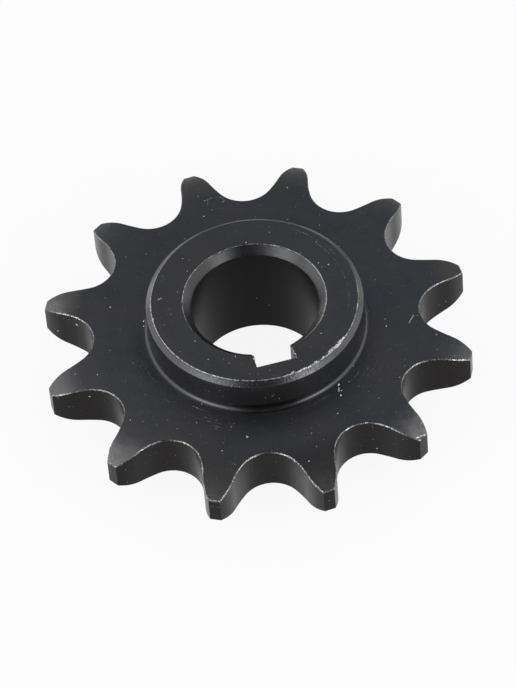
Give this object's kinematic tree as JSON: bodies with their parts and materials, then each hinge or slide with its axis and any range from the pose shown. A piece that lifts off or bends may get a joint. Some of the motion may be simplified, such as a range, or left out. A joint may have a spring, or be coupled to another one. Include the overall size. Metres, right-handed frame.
{
  "type": "chain sprocket",
  "caption": "Solid steel sprocket with a toothed plate for roller chain, a plain hub on each side and a keyed bore that fixes it to a shaft.",
  "frame": {"origin": "centre of the bore at the lower hub's face", "axes": "+Z along the bore axis, towards the upper hub; the keyway points along -Y"},
  "size_m": [0.0544, 0.0544, 0.016],
  "materials": {
    "blackened_steel": "satin black oxide, worn to bare metal on some edges"
  },
  "bodies": {
    "root": {"sprocket": "blackened_steel"}
  },
  "joints": []
}
